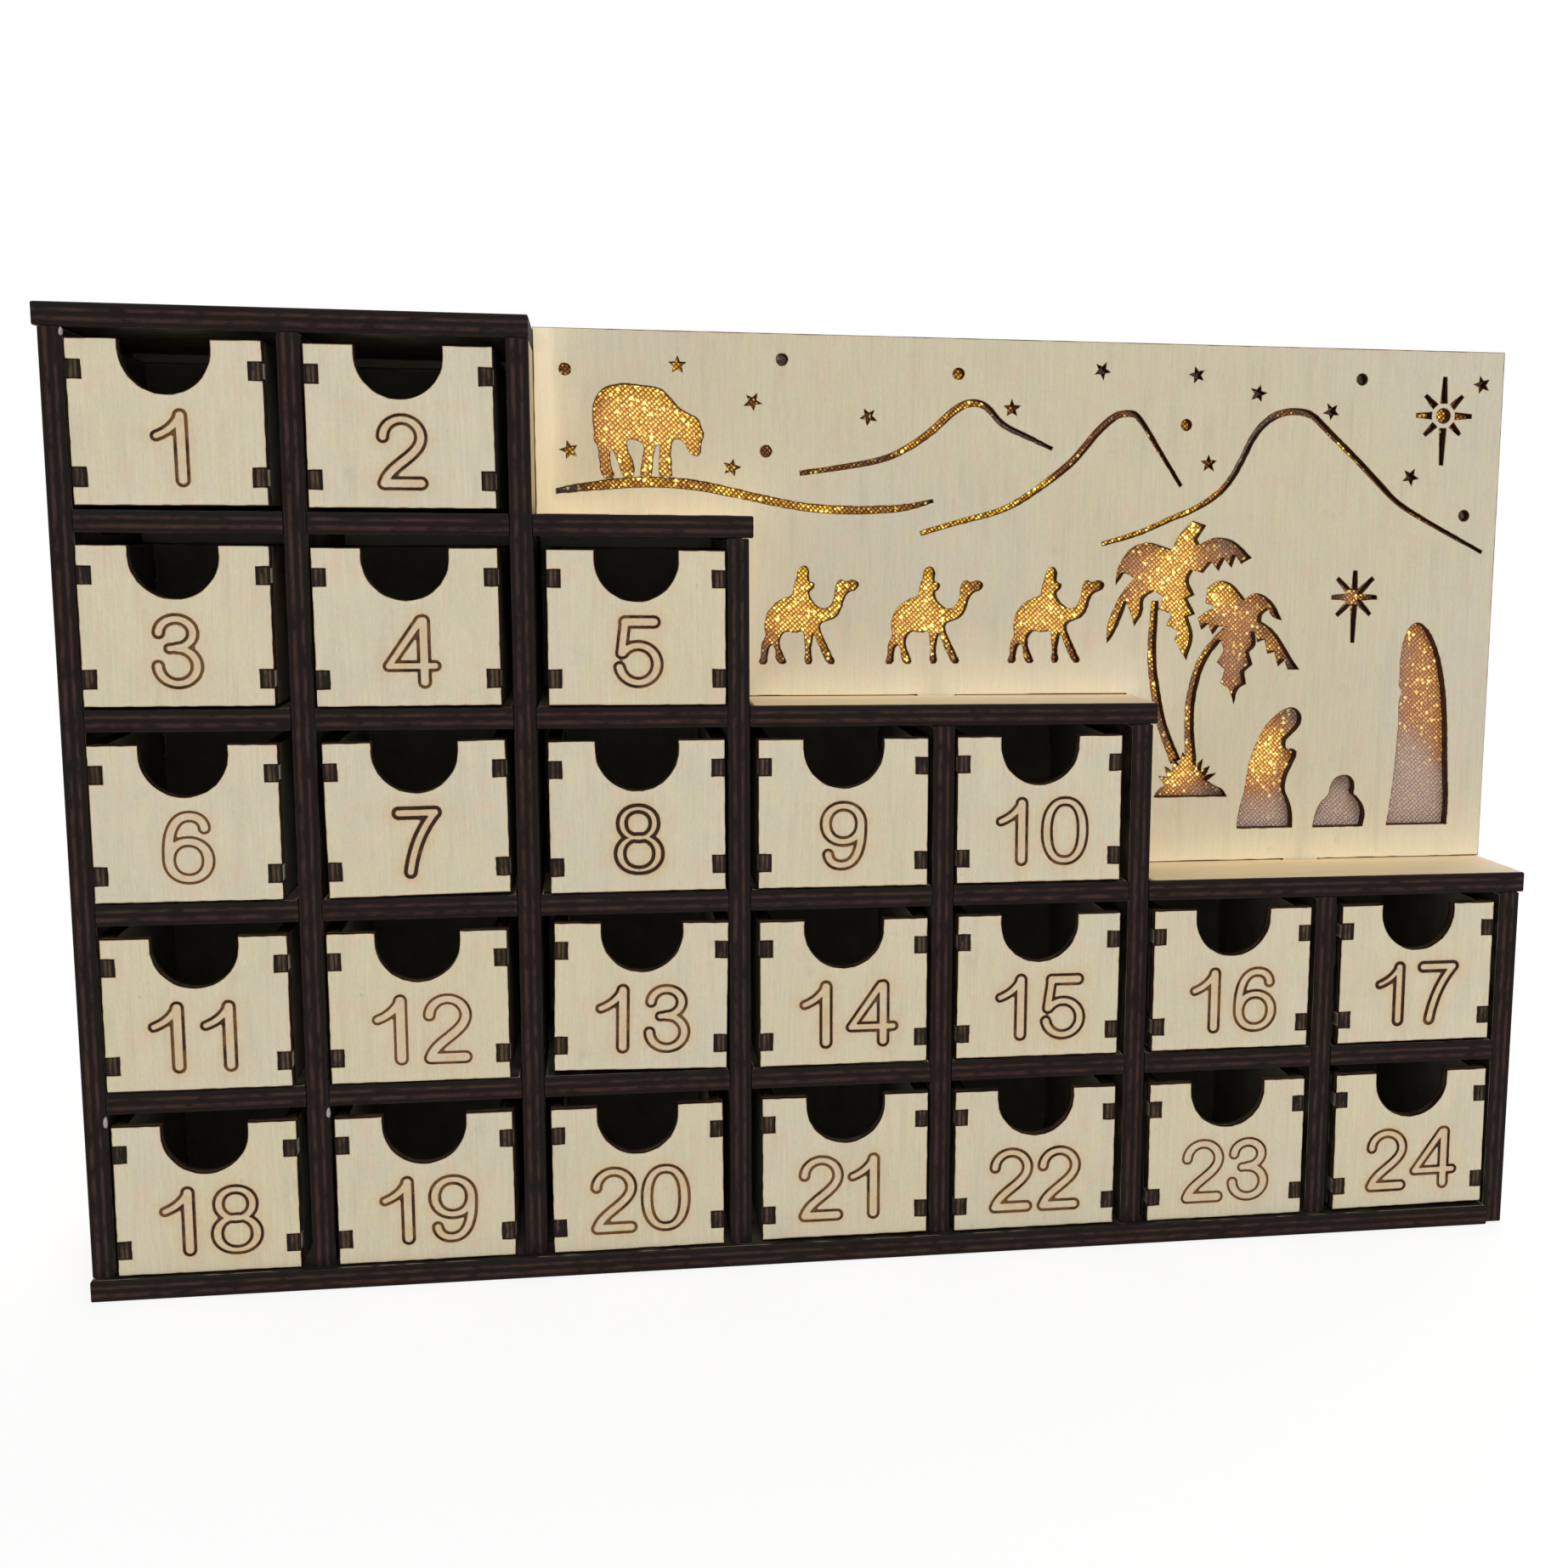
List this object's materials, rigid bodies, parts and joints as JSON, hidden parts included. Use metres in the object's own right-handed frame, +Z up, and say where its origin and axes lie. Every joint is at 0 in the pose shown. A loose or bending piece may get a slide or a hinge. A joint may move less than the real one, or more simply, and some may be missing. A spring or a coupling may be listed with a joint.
{
  "type": "wooden drawer advent calendar",
  "caption": "Stepped plywood chest of small numbered pull-out drawers beside a lit box whose front is cut through with a winter night scene.",
  "frame": {"origin": "middle of the base, on the surface that the calendar stands on", "axes": "+X to the right along the front, +Y to the back, +Z up; the drawers pull out along -Y"},
  "size_m": [0.3444, 0.0672, 0.2205],
  "materials": {
    "case_wood": "laser-cut plywood: pale faces, charred dark edges",
    "drawer_wood": "pale birch plywood with scorched edges and line-engraved numbers",
    "panel_wood": "pale birch plywood with browned cut edges",
    "light_box_wood": "plain plywood",
    "glitter_cloth": "glitter-coated cloth",
    "lamp_lens": "warm white lens",
    "box_plastic": "moulded",
    "switch_plastic": "moulded"
  },
  "bodies": {
    "case": {"base_board": "case_wood", "shelf_1": "case_wood", "shelf_2": "case_wood", "shelf_3": "case_wood", "shelf_4": "case_wood", "top_board": "case_wood", "left_side": "case_wood", "divider_1": "case_wood", "divider_2": "case_wood", "divider_3": "case_wood", "divider_4": "case_wood", "divider_5": "case_wood", "divider_6": "case_wood", "right_side": "case_wood", "scene_panel": "panel_wood", "glitter_fabric": "glitter_cloth", "light_box_top": "light_box_wood", "light_box_end": "light_box_wood", "back_board": "light_box_wood", "lamp_1": "lamp_lens", "lamp_2": "lamp_lens", "lamp_3": "lamp_lens", "lamp_4": "lamp_lens", "lamp_5": "lamp_lens", "lamp_6": "lamp_lens", "lamp_7": "lamp_lens", "lamp_8": "lamp_lens", "battery_box": "box_plastic"},
    "drawer_01": {"drawer_01": "drawer_wood"},
    "drawer_02": {"drawer_02": "drawer_wood"},
    "drawer_03": {"drawer_03": "drawer_wood"},
    "drawer_04": {"drawer_04": "drawer_wood"},
    "drawer_05": {"drawer_05": "drawer_wood"},
    "drawer_06": {"drawer_06": "drawer_wood"},
    "drawer_07": {"drawer_07": "drawer_wood"},
    "drawer_08": {"drawer_08": "drawer_wood"},
    "drawer_09": {"drawer_09": "drawer_wood"},
    "drawer_10": {"drawer_10": "drawer_wood"},
    "drawer_11": {"drawer_11": "drawer_wood"},
    "drawer_12": {"drawer_12": "drawer_wood"},
    "drawer_13": {"drawer_13": "drawer_wood"},
    "drawer_14": {"drawer_14": "drawer_wood"},
    "drawer_15": {"drawer_15": "drawer_wood"},
    "drawer_16": {"drawer_16": "drawer_wood"},
    "drawer_17": {"drawer_17": "drawer_wood"},
    "drawer_18": {"drawer_18": "drawer_wood"},
    "drawer_19": {"drawer_19": "drawer_wood"},
    "drawer_20": {"drawer_20": "drawer_wood"},
    "drawer_21": {"drawer_21": "drawer_wood"},
    "drawer_22": {"drawer_22": "drawer_wood"},
    "drawer_23": {"drawer_23": "drawer_wood"},
    "drawer_24": {"drawer_24": "drawer_wood"},
    "battery_lid": {"battery_lid": "box_plastic"},
    "battery_switch": {"battery_switch": "switch_plastic"}
  },
  "joints": [
    {"name": "drawer_01_slide", "type": "slide", "parent": "case", "child": "drawer_01", "axis": [0, -1, 0], "range_m": [0, 0.0615]},
    {"name": "drawer_02_slide", "type": "slide", "parent": "case", "child": "drawer_02", "axis": [0, -1, 0], "range_m": [0, 0.0615]},
    {"name": "drawer_03_slide", "type": "slide", "parent": "case", "child": "drawer_03", "axis": [0, -1, 0], "range_m": [0, 0.0615]},
    {"name": "drawer_04_slide", "type": "slide", "parent": "case", "child": "drawer_04", "axis": [0, -1, 0], "range_m": [0, 0.0615]},
    {"name": "drawer_05_slide", "type": "slide", "parent": "case", "child": "drawer_05", "axis": [0, -1, 0], "range_m": [0, 0.0615]},
    {"name": "drawer_06_slide", "type": "slide", "parent": "case", "child": "drawer_06", "axis": [0, -1, 0], "range_m": [0, 0.0615]},
    {"name": "drawer_07_slide", "type": "slide", "parent": "case", "child": "drawer_07", "axis": [0, -1, 0], "range_m": [0, 0.0615]},
    {"name": "drawer_08_slide", "type": "slide", "parent": "case", "child": "drawer_08", "axis": [0, -1, 0], "range_m": [0, 0.0615]},
    {"name": "drawer_09_slide", "type": "slide", "parent": "case", "child": "drawer_09", "axis": [0, -1, 0], "range_m": [0, 0.0615]},
    {"name": "drawer_10_slide", "type": "slide", "parent": "case", "child": "drawer_10", "axis": [0, -1, 0], "range_m": [0, 0.0615]},
    {"name": "drawer_11_slide", "type": "slide", "parent": "case", "child": "drawer_11", "axis": [0, -1, 0], "range_m": [0, 0.0615]},
    {"name": "drawer_12_slide", "type": "slide", "parent": "case", "child": "drawer_12", "axis": [0, -1, 0], "range_m": [0, 0.0615]},
    {"name": "drawer_13_slide", "type": "slide", "parent": "case", "child": "drawer_13", "axis": [0, -1, 0], "range_m": [0, 0.0615]},
    {"name": "drawer_14_slide", "type": "slide", "parent": "case", "child": "drawer_14", "axis": [0, -1, 0], "range_m": [0, 0.0615]},
    {"name": "drawer_15_slide", "type": "slide", "parent": "case", "child": "drawer_15", "axis": [0, -1, 0], "range_m": [0, 0.0615]},
    {"name": "drawer_16_slide", "type": "slide", "parent": "case", "child": "drawer_16", "axis": [0, -1, 0], "range_m": [0, 0.0615]},
    {"name": "drawer_17_slide", "type": "slide", "parent": "case", "child": "drawer_17", "axis": [0, -1, 0], "range_m": [0, 0.0615]},
    {"name": "drawer_18_slide", "type": "slide", "parent": "case", "child": "drawer_18", "axis": [0, -1, 0], "range_m": [0, 0.0615]},
    {"name": "drawer_19_slide", "type": "slide", "parent": "case", "child": "drawer_19", "axis": [0, -1, 0], "range_m": [0, 0.0615]},
    {"name": "drawer_20_slide", "type": "slide", "parent": "case", "child": "drawer_20", "axis": [0, -1, 0], "range_m": [0, 0.0615]},
    {"name": "drawer_21_slide", "type": "slide", "parent": "case", "child": "drawer_21", "axis": [0, -1, 0], "range_m": [0, 0.0615]},
    {"name": "drawer_22_slide", "type": "slide", "parent": "case", "child": "drawer_22", "axis": [0, -1, 0], "range_m": [0, 0.0615]},
    {"name": "drawer_23_slide", "type": "slide", "parent": "case", "child": "drawer_23", "axis": [0, -1, 0], "range_m": [0, 0.0615]},
    {"name": "drawer_24_slide", "type": "slide", "parent": "case", "child": "drawer_24", "axis": [0, -1, 0], "range_m": [0, 0.0615]},
    {"name": "battery_lid_pull", "type": "slide", "parent": "case", "child": "battery_lid", "axis": [0, 1, 0], "range_m": [0, 0.01]},
    {"name": "battery_switch_slide", "type": "slide", "parent": "case", "child": "battery_switch", "axis": [1, 0, 0], "range_m": [0, 0.003]}
  ]
}
